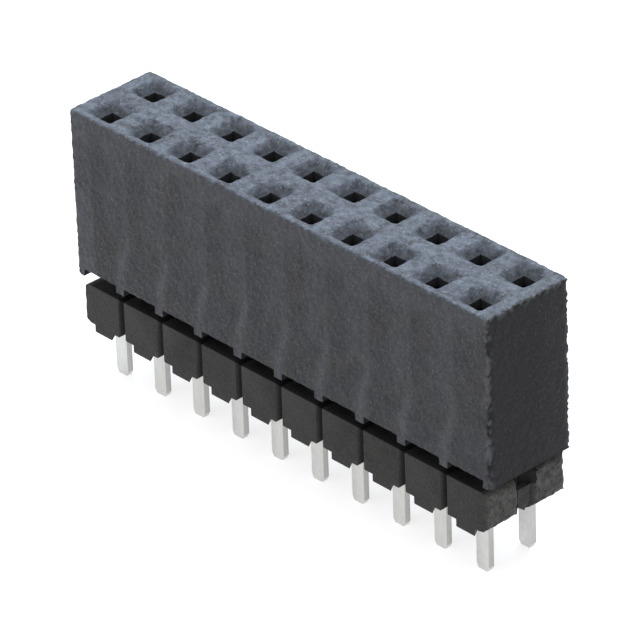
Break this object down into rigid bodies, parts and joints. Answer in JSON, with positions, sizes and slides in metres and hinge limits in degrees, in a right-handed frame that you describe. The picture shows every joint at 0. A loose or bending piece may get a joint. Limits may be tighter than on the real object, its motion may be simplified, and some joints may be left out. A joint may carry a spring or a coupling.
{
  "type": "female pin header strip",
  "caption": "Slim female pin header strip: parallel rows of square sockets in a dark block, flat solder tails below, and a scored spacer strip that lifts the block off the board.",
  "frame": {"origin": "on the face that sits on the circuit board (the bottom of the spacer's feet), midway between the rows and midway between the ends", "axes": "+X along the rows, +Y from the front row (a) to the back row (b), +Z from the board to the sockets"},
  "size_m": [0.026, 0.0048, 0.0135],
  "materials": {
    "housing_plastic": "matte, slightly dusty dark grey",
    "spacer_plastic": "matte black with a worn, mottled skin",
    "contact_metal": "tin-plated, silver-grey and satin"
  },
  "bodies": {
    "root": {"housing": "housing_plastic", "spacer": "spacer_plastic", "contact_a1": "contact_metal", "contact_a2": "contact_metal", "contact_a3": "contact_metal", "contact_a4": "contact_metal", "contact_a5": "contact_metal", "contact_a6": "contact_metal", "contact_a7": "contact_metal", "contact_a8": "contact_metal", "contact_a9": "contact_metal", "contact_a10": "contact_metal", "contact_b1": "contact_metal", "contact_b2": "contact_metal", "contact_b3": "contact_metal", "contact_b4": "contact_metal", "contact_b5": "contact_metal", "contact_b6": "contact_metal", "contact_b7": "contact_metal", "contact_b8": "contact_metal", "contact_b9": "contact_metal", "contact_b10": "contact_metal"}
  },
  "joints": []
}
